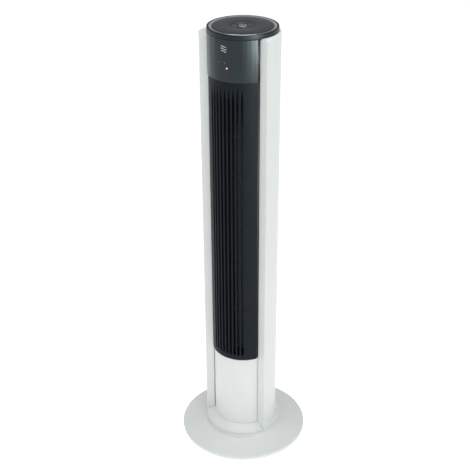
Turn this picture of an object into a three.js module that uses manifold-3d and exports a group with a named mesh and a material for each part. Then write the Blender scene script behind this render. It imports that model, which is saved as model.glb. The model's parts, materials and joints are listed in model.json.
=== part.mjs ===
// Tower fan: a round base, and a tall column that swivels on it and holds a cross-flow blower.
// Millimetres, +Z up, the air outlet faces -Y. The origin is on the floor, under the column's axis.

import * as THREE from 'three';
import { mergeVertices } from 'three/addons/utils/BufferGeometryUtils.js';
import Module from 'manifold-3d';

const wasm = await Module();
wasm.setup();

// ---------------------------------------------------------------- driving dimensions

const HEIGHT = 1010;
const GAP = 0.3;
const WALL = 2.5;
const SIDES = 40;

const BASE = { r: 150, lift: 1.5, edgeTop: 8.6, domeTop: 16.2, plinthR: 90, plinthTop: 30, hole: 20 };
const PLATE = { r: 147, z: 2, top: 4.2 };
const FOOT = { r: 8, ring: 132, count: 6 };
const BASE_SCREW = { ring: 108, count: 4 };
const GLAND = { r: 5, bore: 3.6, z: 23.7, from: 85, to: 96 };

const POST = { r: 14, bore: 9, top: 55 };
const GEAR = { ringTeeth: 48, pinionTeeth: 12, module: 1.25, z: 30.5, thick: 4.7 };
const PITCH_RING = (GEAR.ringTeeth * GEAR.module) / 2;
const PITCH_PINION = (GEAR.pinionTeeth * GEAR.module) / 2;
const PINION_Y = PITCH_RING + PITCH_PINION;

const COLLAR = { r: 90, z: 31, topR: 68, topZ: 45.5, deck: 36.6, deckThick: 2.5, bore: 14.6 };

const SHELL = {
  half: 81.5, depth: 86, arcY: -8, cornerY: -40, innerX: 62.2, innerY: -35.2, lipY: -14, top: 1000,
};
const SKIRT = { r: 68.5, z: 46, top: 234 };
const SKIRT_SPAN = THREE.MathUtils.radToDeg(Math.asin((SHELL.innerX - GAP) / SKIRT.r));
const GRILLE = { r: 72, z: 234.5, top: 911.5, span: 57 };
const SLOT = { count: 9, pitch: 7.5, width: 4.2, z: 245, top: 900, taper: 30 };
const PANEL = { r: 74, z: 911.8, top: 999, span: 55 };
const CAP = { r: 74, z: 999.5, rim: 70.3, floor: 1004, plugR: 60, plugZ: 988 };
const GLASS = { r: 63.6, top: 1009.4 };

const KEY = {
  centreR: 8.6, ringInner: 9.4, ringOuter: 24.4, hole: 25, bottom: 1005.3, stem: 1.8, stemRing: 17,
};

const WHEEL = { r: 44, innerR: 34, blades: 16, discs: 3, z: 252, top: 888, disc: 2, bore: 4.3 };
const SHAFT = { r: 4, z: 152, top: 908 };
const MOTOR = { r: 38.5, z: 158, top: 214 };
const BEARING = { r: 11, z: 901.5, top: 907.5, bracketR: 55.5 };
const DUCT = { z: 240, top: 902.7 };

const INTAKE = { columns: 14, rows: 3, span: 120, width: 6, z: 250, top: 880, bridge: 10 };
const SHELL_SCREW = { x: 22, heights: [120, 930] };

const FLANGE = { stepY: -33, backY: -16 };

const LAMP = { r: 2, hole: 2.35 };
const LAMPS = [[-19.5, 950.5], [-8.7, 951], [1.7, 951], [5.5, 940.5]];

const rad = THREE.MathUtils.degToRad;

// ---------------------------------------------------------------- solids

// Merges shared corners, drops empty triangles and turns the faces outwards.
function closed(geometry) {
  geometry.deleteAttribute('normal');
  geometry.deleteAttribute('uv');
  const merged = mergeVertices(geometry, 1e-4);
  const source = merged.index.array;
  const kept = [];
  for (let i = 0; i < source.length; i += 3) {
    const [a, b, c] = [source[i], source[i + 1], source[i + 2]];
    if (a !== b && b !== c && c !== a) kept.push(a, b, c);
  }
  if (volumeOf(merged.attributes.position, kept) < 0) kept.reverse();
  merged.setIndex(kept);
  return merged;
}

function volumeOf(position, index) {
  const [a, b, c] = [new THREE.Vector3(), new THREE.Vector3(), new THREE.Vector3()];
  let sum = 0;
  for (let i = 0; i < index.length; i += 3) {
    a.fromBufferAttribute(position, index[i]);
    b.fromBufferAttribute(position, index[i + 1]);
    c.fromBufferAttribute(position, index[i + 2]);
    sum += a.dot(b.cross(c)) / 6;
  }
  return sum;
}

function toManifold(geometry) {
  const vertProperties = new Float32Array(geometry.attributes.position.array);
  const triVerts = new Uint32Array(geometry.index.array);
  return new wasm.Manifold(new wasm.Mesh({ numProp: 3, vertProperties, triVerts }));
}

function toGeometry(manifold) {
  const mesh = manifold.getMesh();
  const geometry = new THREE.BufferGeometry();
  geometry.setAttribute('position', new THREE.BufferAttribute(mesh.vertProperties, 3));
  geometry.setIndex(new THREE.BufferAttribute(mesh.triVerts, 1));
  return geometry;
}

const join = (...geometries) => toGeometry(geometries.map(toManifold).reduce((a, b) => a.add(b)));
const cut = (body, ...tools) =>
  toGeometry(tools.map(toManifold).reduce((a, b) => a.subtract(b), toManifold(body)));

// A closed profile of [radius, height] turned about the Z axis.
function turned(profile, sides = SIDES) {
  const points = [...profile, profile[0]].map(([r, z]) => new THREE.Vector2(r, z));
  return closed(new THREE.LatheGeometry(points, sides).rotateX(Math.PI / 2));
}

const ring = (inner, outer, z, top, sides = SIDES) =>
  turned([[inner, z], [outer, z], [outer, top], [inner, top]], sides);

const disc = (r, z, top, sides = SIDES) => turned([[0, z], [r, z], [r, top], [0, top]], sides);

// A plan outline of [x, y] raised from z to top.
function prism(outline, z, top) {
  const shape = new THREE.Shape(outline.map(([x, y]) => new THREE.Vector2(x, y)));
  const geometry = new THREE.ExtrudeGeometry(shape, { depth: top - z, bevelEnabled: false });
  return closed(geometry.translate(0, 0, z));
}

const box = (x, y, z, w, d, h) => closed(new THREE.BoxGeometry(w, d, h).translate(x, y, z));

// The plan point at a radius and an angle from the front, positive towards +X.
const polar = (r, degrees) => [r * Math.sin(rad(degrees)), -r * Math.cos(rad(degrees))];

function arc(r, from, to, steps) {
  return Array.from({ length: steps + 1 }, (_, i) => polar(r, from + ((to - from) * i) / steps));
}

// A curved panel between two radii and two angles from the front.
function sector(inner, outer, from, to, z, top, steps = 24) {
  return prism([...arc(outer, from, to, steps), ...arc(inner, to, from, steps)], z, top);
}

// A short rod that points out of the column at an angle from the front.
function radialRod(r, from, to, degrees, z, sides = 12) {
  const rod = new THREE.CylinderGeometry(r, r, to - from, sides);
  rod.translate(0, -(from + to) / 2, 0).rotateZ(rad(degrees));
  return closed(rod.translate(0, 0, z));
}

const around = (count, make, offset = 0) =>
  Array.from({ length: count }, (_, i) => make(offset + (360 * i) / count, i));

// ---------------------------------------------------------------- the scene graph

const fan = new THREE.Group();
fan.name = 'tower_fan';

const WHITE = { color: 0xe2e6e2, roughness: 0.38, metalness: 0 };
const BLACK = { color: 0x2b3036, roughness: 0.42, metalness: 0 };
const GLOSS = { color: 0x1a1f23, roughness: 0.1, metalness: 0 };
const DARK = { color: 0x202326, roughness: 0.55, metalness: 0 };
const STEEL = { color: 0xa9adb0, roughness: 0.35, metalness: 0.9 };
const SILVER = { color: 0xc4cacb, roughness: 0.2, metalness: 0.95 };
const IRON = { color: 0x585b5e, roughness: 0.6, metalness: 0.7 };
const RUBBER = { color: 0x232323, roughness: 0.85, metalness: 0 };
const GREEN = { color: 0x2c5b3c, roughness: 0.5, metalness: 0 };
const NYLON = { color: 0xd9d7cc, roughness: 0.45, metalness: 0 };
const LIT = { color: 0xb0485c, roughness: 0.3, metalness: 0 };

function add(name, geometry, finish) {
  const mesh = new THREE.Mesh(geometry, new THREE.MeshStandardMaterial(finish));
  mesh.name = name;
  fan.add(mesh);
}

// ---------------------------------------------------------------- base

function baseCover() {
  const { r, lift, edgeTop, domeTop, plinthR, plinthTop, hole } = BASE;
  const profile = [
    [r, lift], [r, edgeTop - 2], [r - 2.5, edgeTop], [plinthR + 3, domeTop], [plinthR, domeTop + 3],
    [plinthR, plinthTop], [hole, plinthTop], [hole, plinthTop - WALL],
    [plinthR - WALL, plinthTop - WALL], [plinthR - WALL, domeTop - 1.5],
    [r - WALL, edgeTop - 3], [r - WALL, lift],
  ];
  return cut(turned(profile, 48), alongY(GLAND.r + 0.4, plinthR - 6, plinthR + 6, 0, GLAND.z, 20));
}

// A rod along Y.
function alongY(r, from, to, x, z, sides = 16) {
  return closed(new THREE.CylinderGeometry(r, r, to - from, sides).translate(x, (from + to) / 2, z));
}

add('base_cover', baseCover(), WHITE);

const screwHoles = around(BASE_SCREW.count, (a) => {
  const [x, y] = polar(BASE_SCREW.ring, a);
  return disc(2.3, 0, 6, 12).translate(x, y, 0);
}, 45);
add('base_bottom_plate', cut(ring(8, PLATE.r, PLATE.z, PLATE.top), ...screwHoles), DARK);
add('base_weight', ring(40, 95, PLATE.top + GAP, 11.2), IRON);

around(FOOT.count, (a, i) => {
  const [x, y] = polar(FOOT.ring, a);
  add(`rubber_foot_${i + 1}`, disc(FOOT.r, 0, PLATE.z - GAP, 16).translate(x, y, 0), RUBBER);
});

around(BASE_SCREW.count, (a, i) => {
  const [x, y] = polar(BASE_SCREW.ring, a);
  const screw = turned([[0, 0.7], [4, 0.7], [4, 1.7], [1.8, 1.7], [1.8, 9], [0, 9]], 12);
  add(`base_screw_${i + 1}`, screw.translate(x, y, 0), STEEL);
}, 45);

add('cord_gland', cut(
  alongY(GLAND.r, GLAND.from, GLAND.to, 0, GLAND.z, 20),
  alongY(GLAND.bore, GLAND.from - 1, GLAND.to + 1, 0, GLAND.z, 20),
), DARK);

const postZ = PLATE.top + GAP;
add('pivot_post', turned([
  [POST.bore, postZ], [30, postZ], [30, postZ + 3],
  [POST.r, postZ + 3], [POST.r, POST.top], [POST.bore, POST.top],
], 32), STEEL);

add('swivel_bearing_ring', ring(60, 76, BASE.plinthTop + GAP, COLLAR.deck - 0.4), NYLON);

// A gear's outline: straight-flanked teeth on a pitch circle.
function gearOutline(teeth, offset) {
  const pitchR = (teeth * GEAR.module) / 2;
  const step = 360 / teeth;
  const [root, tip] = [pitchR - 1.45, pitchR + 1.15];
  const half = [0.33, 0.11].map((share) => share * step);
  const outline = [];
  for (let i = 0; i < teeth; i += 1) {
    const a = offset + i * step;
    outline.push(polar(root, a - half[0]), polar(tip, a - half[1]));
    outline.push(polar(tip, a + half[1]), polar(root, a + half[0]));
  }
  return outline;
}

const gearTop = GEAR.z + GEAR.thick;
add('swivel_gear_ring', cut(
  prism(gearOutline(GEAR.ringTeeth, 0), BASE.plinthTop + GAP, gearTop),
  disc(20, BASE.plinthTop - 5, gearTop + 5, 40),
), NYLON);

const deckTop = COLLAR.deck + COLLAR.deckThick;
add('retaining_washer', ring(POST.r + GAP, 24, deckTop + 0.4, deckTop + 1.8, 40), STEEL);
add('pivot_nut', cut(
  disc(21, deckTop + 2.2, deckTop + 10, 6), disc(POST.r + GAP, deckTop, deckTop + 12, 40),
), STEEL);

// ---------------------------------------------------------------- column: collar, skirt and shell

function collar() {
  const run = COLLAR.r - COLLAR.topR;
  const rise = COLLAR.topZ - COLLAR.z;
  const drop = (WALL * Math.hypot(run, rise)) / run;
  const innerRadiusAt = (z) => COLLAR.r - ((z + drop - COLLAR.z) * run) / rise;
  const innerTop = COLLAR.topR - WALL;
  const profile = [
    [COLLAR.r, COLLAR.z], [COLLAR.topR, COLLAR.topZ], [innerTop, COLLAR.topZ],
    [innerTop, COLLAR.topZ - 1.3], [innerRadiusAt(deckTop), deckTop],
    [COLLAR.bore, deckTop], [COLLAR.bore, COLLAR.deck], [innerRadiusAt(COLLAR.deck), COLLAR.deck],
    [innerRadiusAt(COLLAR.z), COLLAR.z],
  ];
  const pinionHole = disc(3.1, COLLAR.deck - 2, deckTop + 2, 20).translate(0, PINION_Y, 0);
  return cut(turned(profile), pinionHole);
}

add('column_collar', collar(), WHITE);
add('front_skirt', sector(SKIRT.r - WALL, SKIRT.r, -SKIRT_SPAN, SKIRT_SPAN, SKIRT.z, SKIRT.top, 28), WHITE);

// The half-ellipse at the shell's back, from its middle to its right side.
function shellOutline(inset) {
  const steps = 14;
  return Array.from({ length: steps + 1 }, (_, i) => {
    const a = rad((90 * i) / steps);
    return [(SHELL.half - inset) * Math.sin(a), SHELL.arcY + (SHELL.depth - inset) * Math.cos(a)];
  });
}

const mirrored = (points) => points.map(([x, y]) => [-x, y]).reverse();

function shellWall() {
  const slope = (SHELL.cornerY - SHELL.innerY) / (SHELL.half - SHELL.innerX);
  const back = WALL * Math.hypot(1, slope);
  const faceInside = (x) => SHELL.innerY + back + (x - SHELL.innerX) * slope;
  const lipX = SHELL.innerX + WALL;
  const right = [
    ...shellOutline(0), [SHELL.half, SHELL.cornerY], [SHELL.innerX, SHELL.innerY],
    [SHELL.innerX, SHELL.lipY], [lipX, SHELL.lipY], [lipX, faceInside(lipX)],
    [SHELL.half - WALL, faceInside(SHELL.half - WALL)], ...shellOutline(WALL).reverse(),
  ];
  return prism([...right, ...mirrored(right)], COLLAR.z, SHELL.top);
}

function shellDeck() {
  const right = [...shellOutline(0), [SHELL.half, SHELL.cornerY], [SHELL.innerX, SHELL.innerY]];
  return prism([...right, ...mirrored(right).slice(0, -1)], SHELL.top - WALL, SHELL.top);
}

// The space the collar's cone and the cap's rim take out of the shell.
function shellClearance() {
  const cone = turned([
    [0, COLLAR.z - 5], [COLLAR.r + 0.6, COLLAR.z - 5], [COLLAR.r + 0.6, COLLAR.z + 0.2],
    [COLLAR.topR + 0.6, COLLAR.topZ + 0.2], [0, COLLAR.topZ + 0.2],
  ]);
  return [cone, disc(CAP.r + 0.4, SHELL.top - WALL - 0.5, SHELL.top + 5, SIDES)];
}

function intakeSlots() {
  const rowHeight = (INTAKE.top - INTAKE.z + INTAKE.bridge) / INTAKE.rows;
  const slots = [];
  for (let c = 0; c < INTAKE.columns; c += 1) {
    const a = -INTAKE.span / 2 + (INTAKE.span * (c + 0.5)) / INTAKE.columns;
    for (let row = 0; row < INTAKE.rows; row += 1) {
      const height = rowHeight - INTAKE.bridge;
      const z = INTAKE.z + row * rowHeight + height / 2;
      const slot = new THREE.BoxGeometry(INTAKE.width, 14, height).translate(0, SHELL.depth - 4, z);
      slots.push(closed(slot.rotateZ(rad(a)).translate(0, SHELL.arcY, 0)));
    }
  }
  return slots;
}

const screwPlaces = SHELL_SCREW.heights.flatMap((z) => [[-SHELL_SCREW.x, z], [SHELL_SCREW.x, z]]);
const screwFace = SHELL.arcY + SHELL.depth * Math.sqrt(1 - ((SHELL_SCREW.x + 3) / SHELL.half) ** 2);
const shellScrewHoles = screwPlaces.map(([x, z]) => alongY(3.6, screwFace - 8, screwFace + 8, x, z));

add('rear_housing', cut(
  join(shellWall(), shellDeck()), ...shellClearance(), ...shellScrewHoles, ...intakeSlots(),
), WHITE);

screwPlaces.forEach(([x, z], i) => {
  const head = alongY(3.2, screwFace - 2.4, screwFace - 0.4, x, z);
  const shank = alongY(1.6, screwFace - 12, screwFace - 2, x, z);
  add(`housing_screw_${i + 1}`, join(head, shank), STEEL);
});

// ---------------------------------------------------------------- column: grille, display and cap

// A curved front panel whose side edges fold back, then step out to close the gap beside the shell's lips.
function flangedPanel(r, span, z, top) {
  const [tipX] = polar(r, span);
  const [insideX] = polar(r - WALL, span);
  const lipX = SHELL.innerX - GAP;
  const flange = [
    [tipX, FLANGE.stepY], [lipX, FLANGE.stepY], [lipX, FLANGE.backY], [insideX, FLANGE.backY],
  ];
  return prism([
    ...arc(r, -span, span, 38), ...flange, ...arc(r - WALL, span, -span, 38), ...mirrored(flange),
  ], z, top);
}

function grille() {
  const { r, z, top, span } = GRILLE;
  const panel = flangedPanel(r, span, z, top);
  const slots = Array.from({ length: SLOT.count }, (_, i) => {
    const a = (i - (SLOT.count - 1) / 2) * SLOT.pitch;
    const half = (SLOT.width / 2) * rad(1) * r;
    const outline = [
      [-half, SLOT.z], [half, SLOT.z + 5], [half, SLOT.top - SLOT.taper],
      [0, SLOT.top], [-half, SLOT.top - SLOT.taper],
    ];
    const shape = new THREE.Shape(outline.map(([x, y]) => new THREE.Vector2(x, y)));
    const slot = new THREE.ExtrudeGeometry(shape, { depth: 12, bevelEnabled: false });
    return closed(slot.rotateX(Math.PI / 2).translate(0, -r + 8, 0).rotateZ(rad(a)));
  });
  return cut(panel, ...slots);
}

add('front_grille', grille(), BLACK);

const lampHoles = LAMPS.map(([a, z]) => radialRod(LAMP.hole, PANEL.r - 8, PANEL.r + 4, a, z));
add('display_panel', cut(
  flangedPanel(PANEL.r, PANEL.span, PANEL.z, PANEL.top), ...lampHoles,
), GLOSS);
LAMPS.forEach(([a, z], i) => add(`indicator_lamp_${i + 1}`, radialRod(LAMP.r, 64, PANEL.r - 0.1, a, z), LIT));
add('display_board', box(0, -58, 945, 70, 1.6, 44), GREEN);

const keyAngles = [45, 135, 225, 315];
const stemHole = ([x, y]) => disc(2.4, CAP.floor - 6, CAP.floor + 2, 8).translate(x, y, 0);

function topCap() {
  const profile = [
    [0, CAP.floor - 3], [CAP.plugR - WALL, CAP.floor - 3],
    [CAP.plugR - WALL, CAP.plugZ], [CAP.plugR, CAP.plugZ],
    [CAP.plugR, CAP.z], [CAP.r, CAP.z], [CAP.r, HEIGHT - 1], [CAP.r - 1, HEIGHT],
    [CAP.rim, HEIGHT], [CAP.rim, CAP.floor], [0, CAP.floor],
  ];
  const stems = [[0, 0], ...keyAngles.map((a) => polar(KEY.stemRing, a))];
  return cut(turned(profile), ...stems.map(stemHole));
}

add('top_cap', topCap(), BLACK);
add('trim_ring', turned([
  [GLASS.r + GAP, CAP.floor + GAP], [CAP.rim - GAP, CAP.floor + GAP], [CAP.rim - GAP, HEIGHT],
  [GLASS.r + 1.5, HEIGHT - 0.5], [GLASS.r + GAP, HEIGHT - 1.4],
]), SILVER);
add('control_glass', ring(KEY.hole, GLASS.r, CAP.floor + GAP, GLASS.top), GLOSS);

const stemRod = ([x, y]) => disc(KEY.stem, CAP.plugZ + 6, KEY.bottom + 1, 8).translate(x, y, 0);
add('power_key', join(disc(KEY.centreR, KEY.bottom, GLASS.top, 32), stemRod([0, 0])), SILVER);
['speed_key', 'swing_key', 'timer_key', 'mode_key'].forEach((name, i) => {
  const middle = keyAngles[i];
  const pad = sector(KEY.ringInner, KEY.ringOuter, middle - 43.5, middle + 43.5, KEY.bottom, GLASS.top, 10);
  add(name, join(pad, stemRod(polar(KEY.stemRing, middle))), GLOSS);
});
add('control_board', disc(CAP.plugR - WALL - 0.5, CAP.plugZ + 1, CAP.plugZ + 2.6, 40), GREEN);

// ---------------------------------------------------------------- column: inside

add('swivel_motor', disc(19, deckTop + GAP, 57, 32).translate(0, 46, 0), STEEL);
add('capacitor', disc(14, 70, 118, 24).translate(-30, 26, 0), DARK);
add('motor_housing', turned([
  [MOTOR.r, MOTOR.z], [MOTOR.r, MOTOR.top], [8, MOTOR.top], [8, MOTOR.top - WALL],
  [MOTOR.r - WALL, MOTOR.top - WALL], [MOTOR.r - WALL, MOTOR.z + WALL], [8, MOTOR.z + WALL], [8, MOTOR.z],
], 40), STEEL);
add('motor_stator', ring(19.8, MOTOR.r - WALL - GAP, 168, 204, 40), IRON);
add('motor_bracket', ring(8, 62, MOTOR.top + GAP, MOTOR.top + 3.5), DARK);
add('bearing_bracket', ring(BEARING.r + GAP, BEARING.bracketR, BEARING.z + 1.5, BEARING.top - 1.5), DARK);
add('upper_bearing', ring(SHAFT.r + GAP, BEARING.r, BEARING.z, BEARING.top, 32), STEEL);
add('duct_scroll', sector(50, 52.5, -150, -62, DUCT.z, DUCT.top, 16), DARK);
add('duct_tongue', sector(48, 54, 48, 60, DUCT.z, DUCT.top, 3), DARK);

// ---------------------------------------------------------------- blower wheel, shaft and rotor

function blade(degrees) {
  const thickness = 1.1;
  const lean = [[WHEEL.innerR, 0], [WHEEL.r - 0.3, 9]];
  const front = lean.map(([r, turn]) => polar(r, degrees + turn));
  const behind = lean.map(([r, turn]) => polar(r, degrees + turn + thickness / r / rad(1)));
  return prism([...front, ...behind.reverse()], WHEEL.z + 0.5, WHEEL.top - 0.5);
}

function wheel() {
  const gapBetween = (WHEEL.top - WHEEL.z - WHEEL.disc) / (WHEEL.discs - 1);
  const discs = Array.from({ length: WHEEL.discs }, (_, i) => {
    const inner = i === 0 || i === WHEEL.discs - 1 ? WHEEL.bore : WHEEL.innerR - 1;
    const z = WHEEL.z + i * gapBetween;
    return ring(inner, WHEEL.r, z, z + WHEEL.disc, 32);
  });
  return join(...discs, ...around(WHEEL.blades, blade));
}

add('blower_wheel', wheel(), DARK);
add('wheel_shaft', disc(SHAFT.r, SHAFT.z, SHAFT.top, 20), STEEL);
add('motor_rotor', ring(SHAFT.r + GAP, 18.8, 166, 206, 32), IRON);

// ---------------------------------------------------------------- swivel drive

const pinionShaft = disc(2.5, GEAR.z + 1, deckTop - 0.1, 16);
const pinionTeeth = prism(gearOutline(GEAR.pinionTeeth, 180 / GEAR.pinionTeeth), GEAR.z + GAP, gearTop);
add('swivel_pinion', join(pinionTeeth, pinionShaft).translate(0, PINION_Y, 0), NYLON);

export default fan;
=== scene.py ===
"""The looks of a tower fan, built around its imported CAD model.

Lengths are in millimetres until a mesh is made, and angles in degrees. The air outlet faces -Y, and
plan angles are counted from the front, positive towards +X.
"""

import json
import math

import bmesh
import bpy
from mathutils import Matrix, Vector


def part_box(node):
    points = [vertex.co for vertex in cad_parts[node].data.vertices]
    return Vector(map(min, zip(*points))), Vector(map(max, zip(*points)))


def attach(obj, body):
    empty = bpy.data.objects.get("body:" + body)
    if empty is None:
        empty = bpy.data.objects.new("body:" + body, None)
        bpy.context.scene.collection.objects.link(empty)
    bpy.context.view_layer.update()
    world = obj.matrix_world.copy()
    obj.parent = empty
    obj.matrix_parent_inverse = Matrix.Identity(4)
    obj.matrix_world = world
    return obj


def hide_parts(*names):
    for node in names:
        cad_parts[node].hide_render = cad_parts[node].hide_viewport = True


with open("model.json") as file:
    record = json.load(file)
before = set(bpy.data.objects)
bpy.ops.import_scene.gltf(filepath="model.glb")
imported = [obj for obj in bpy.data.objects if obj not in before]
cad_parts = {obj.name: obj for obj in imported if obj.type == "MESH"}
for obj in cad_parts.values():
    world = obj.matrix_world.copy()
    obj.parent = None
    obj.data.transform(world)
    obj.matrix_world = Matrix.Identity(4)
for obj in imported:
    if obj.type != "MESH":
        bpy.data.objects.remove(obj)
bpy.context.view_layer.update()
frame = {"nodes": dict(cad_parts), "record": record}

MM = 0.001
SEGMENTS = 192
WALL = 2.5
INK = 0.05


def box_mm(node):
    """A CAD node's lowest and highest corners, in millimetres."""
    low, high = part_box(node)
    return low / MM, high / MM


# ---------------------------------------------------------------- camera

CAMERA_AZIMUTH = 31.5
CAMERA_DISTANCE = 1935.5
CAMERA_HEIGHT = 1572.3
CAMERA_PITCH = 28.35
CAMERA_PAN = -0.544
CAMERA_ROLL = -0.344
CAMERA_LENS = 74.75


def make_camera():
    """A camera at the photograph's viewing angle: pan and roll are small turns off the column's axis."""
    azimuth = math.radians(CAMERA_AZIMUTH)
    pan = math.radians(CAMERA_AZIMUTH - CAMERA_PAN)
    pitch = math.radians(CAMERA_PITCH)
    data = bpy.data.cameras.new("photo_camera")
    data.lens = CAMERA_LENS
    data.sensor_width = 36
    data.dof.use_dof = False
    camera = bpy.data.objects.new("photo_camera", data)
    bpy.context.scene.collection.objects.link(camera)
    place = (
        CAMERA_DISTANCE * math.sin(azimuth), -CAMERA_DISTANCE * math.cos(azimuth), CAMERA_HEIGHT,
    )
    turn = Matrix.Rotation(pan, 4, "Z") @ Matrix.Rotation(math.pi / 2 - pitch, 4, "X")
    roll = Matrix.Rotation(math.radians(CAMERA_ROLL), 4, "Z")
    camera.matrix_world = Matrix.Translation(Vector(place) * MM) @ turn @ roll
    bpy.context.scene.camera = camera


make_camera()

# ---------------------------------------------------------------- outlines and meshes


def polar(r, degrees):
    """The plan point at a radius and an angle from the front."""
    a = math.radians(degrees)
    return r * math.sin(a), -r * math.cos(a)


def spread(start, end, count):
    """count + 1 even steps from start to end."""
    return [start + (end - start) * i / count for i in range(count + 1)]


def rounded(corners, steps=5):
    """A closed outline from (x, y, radius) corners, each corner turned into an arc of that radius."""
    outline = []
    for i, (x, y, radius) in enumerate(corners):
        here = Vector((x, y))
        before = Vector(corners[i - 1][:2]) - here
        after = Vector(corners[(i + 1) % len(corners)][:2]) - here
        angle = before.angle(after) if radius else math.pi
        if radius <= 0 or angle > math.pi - 0.02:
            outline.append((x, y))
            continue
        reach = radius / math.tan(angle / 2)
        reach = min(reach, before.length * 0.49, after.length * 0.49)
        start = here + before.normalized() * reach
        end = here + after.normalized() * reach
        true_radius = reach * math.tan(angle / 2)
        middle = (before.normalized() + after.normalized()).normalized()
        centre = here + middle * (true_radius / math.sin(angle / 2))
        first = start - centre
        sweep = first.angle_signed(end - centre)
        for k in range(steps + 1):
            turn = Matrix.Rotation(-sweep * k / steps, 2)
            outline.append(tuple(centre + turn @ first))
    return outline


def shift(x, y, z):
    """A move by millimetres."""
    return Matrix.Translation(Vector((x, y, z)) * MM)


def shade_smooth(piece):
    """Shades every face of a piece as smooth."""
    for polygon in piece.data.polygons:
        polygon.use_smooth = True


def new_object(name, points, faces):
    """A mesh object from millimetre points, with doubles merged and faces turned outwards."""
    mesh = bpy.data.meshes.new(name)
    mesh.from_pydata([Vector(p) * MM for p in points], [], faces)
    bm = bmesh.new()
    bm.from_mesh(mesh)
    bmesh.ops.remove_doubles(bm, verts=bm.verts, dist=2e-6)
    bmesh.ops.dissolve_degenerate(bm, edges=bm.edges, dist=1e-7)
    bmesh.ops.recalc_face_normals(bm, faces=bm.faces)
    bm.to_mesh(mesh)
    bm.free()
    piece = bpy.data.objects.new(name, mesh)
    shade_smooth(piece)
    bpy.context.scene.collection.objects.link(piece)
    return piece


def soften(piece, width=0.4, segments=3, angle=32):
    """Rounds the sharp edges by a small radius, and shades the flats as flat."""
    bevel = piece.modifiers.new("edges", "BEVEL")
    bevel.width = width * MM
    bevel.segments = segments
    bevel.limit_method = "ANGLE"
    bevel.angle_limit = math.radians(angle)
    bevel.harden_normals = False
    piece.modifiers.new("normals", "WEIGHTED_NORMAL").keep_sharp = True
    return piece


def ink(piece):
    """Thickens a flat printed shape into a thin layer of ink, away from its front."""
    solid = piece.modifiers.new("ink", "SOLIDIFY")
    solid.thickness = INK * MM
    solid.offset = -1
    return piece


def mount(piece, body, slot, material, *replaced):
    """Paints a piece, sets it on its body and hides the CAD nodes it stands for."""
    piece.data.materials.clear()
    piece.data.materials.append(material)
    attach(piece, body)
    if replaced:
        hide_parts(*replaced)
    return piece


def lathe(name, profile, segments=SEGMENTS):
    """A closed (radius, height) profile turned about the Z axis."""
    count = len(profile)
    points = []
    for i in range(segments):
        a = 2 * math.pi * i / segments
        points += [(r * math.cos(a), r * math.sin(a), z) for r, z in profile]
    faces = []
    for i in range(segments):
        here, there = i * count, (i + 1) % segments * count
        for k in range(count):
            m = (k + 1) % count
            faces.append((here + k, there + k, there + m, here + m))
    return new_object(name, points, faces)


def prism(name, outline, z, top):
    """A plan outline raised from z to top."""
    count = len(outline)
    points = [(x, y, h) for h in (z, top) for x, y in outline]
    sides = [(i, (i + 1) % count, count + (i + 1) % count, count + i) for i in range(count)]
    faces = sides + [tuple(range(count))[::-1], tuple(range(count, 2 * count))]
    return new_object(name, points, faces)


def grid_faces(rows, columns):
    """Quads over a grid whose points are stored row by row."""
    return [
        (r * columns + c, r * columns + c + 1, (r + 1) * columns + c + 1, (r + 1) * columns + c)
        for r in range(rows - 1)
        for c in range(columns - 1)
    ]


def curved_panel(name, inner, outer, start, end, z, top, steps=120, levels=12):
    """A curved panel of even thickness, between two angles from the front."""
    angles = spread(start, end, steps)
    heights = spread(z, top, levels)
    across = len(angles)
    points = [(*polar(r, a), h) for r in (outer, inner) for h in heights for a in angles]
    sheet = grid_faces(len(heights), across)
    behind = across * len(heights)
    faces = sheet + [tuple(i + behind for i in reversed(f)) for f in sheet]
    lower = list(range(across))
    upper = [(len(heights) - 1) * across + i for i in range(across)]
    left = [r * across for r in range(len(heights))]
    right = [r * across + across - 1 for r in range(len(heights))]
    for rim in (lower, upper, left, right):
        faces += [(a, b, b + behind, a + behind) for a, b in zip(rim, rim[1:])]
    return new_object(name, points, faces)


# ---------------------------------------------------------------- materials


def node_material(name):
    """A material whose Principled shader and links are ready to be set."""
    material = bpy.data.materials.new(name)
    material.use_nodes = True
    tree = material.node_tree
    shader = tree.nodes["Principled BSDF"]
    return material, tree, shader


def add_node(tree, kind, **inputs):
    """A node whose named inputs are set; an underscore stands for a space."""
    node = tree.nodes.new(kind)
    for key, value in inputs.items():
        node.inputs[key.replace("_", " ")].default_value = value
    return node


def noise(tree, place, scale, detail=3.0, roughness=0.5):
    """A noise over the given coordinates."""
    node = add_node(tree, "ShaderNodeTexNoise", Scale=scale, Detail=detail, Roughness=roughness)
    tree.links.new(place, node.inputs["Vector"])
    return node.outputs["Fac"]


def ranged(tree, value, low, high, start=0.3, end=0.7):
    """Maps the middle of a noise to low..high."""
    node = tree.nodes.new("ShaderNodeMapRange")
    tree.links.new(value, node.inputs["Value"])
    node.inputs["From Min"].default_value = start
    node.inputs["From Max"].default_value = end
    node.inputs["To Min"].default_value = low
    node.inputs["To Max"].default_value = high
    return node.outputs["Result"]


def blended(tree, factor, first, second):
    """A mix of two colours, each a tuple or another node's output."""
    node = tree.nodes.new("ShaderNodeMix")
    node.data_type = "RGBA"
    tree.links.new(factor, node.inputs[0])
    for socket, colour in ((6, first), (7, second)):
        if isinstance(colour, tuple):
            node.inputs[socket].default_value = (*colour, 1)
        else:
            tree.links.new(colour, node.inputs[socket])
    return node.outputs[2]


def bumped(tree, shader, height, strength, distance):
    """Presses a height pattern into the surface, to a depth in millimetres."""
    node = tree.nodes.new("ShaderNodeBump")
    node.inputs["Strength"].default_value = strength
    node.inputs["Distance"].default_value = distance * MM
    tree.links.new(height, node.inputs["Height"])
    tree.links.new(node.outputs["Normal"], shader.inputs["Normal"])


PLAIN_SHINE = (1, 1, 1, 1)
COOL_SHINE = (0.76, 0.94, 1.0, 1)


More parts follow.
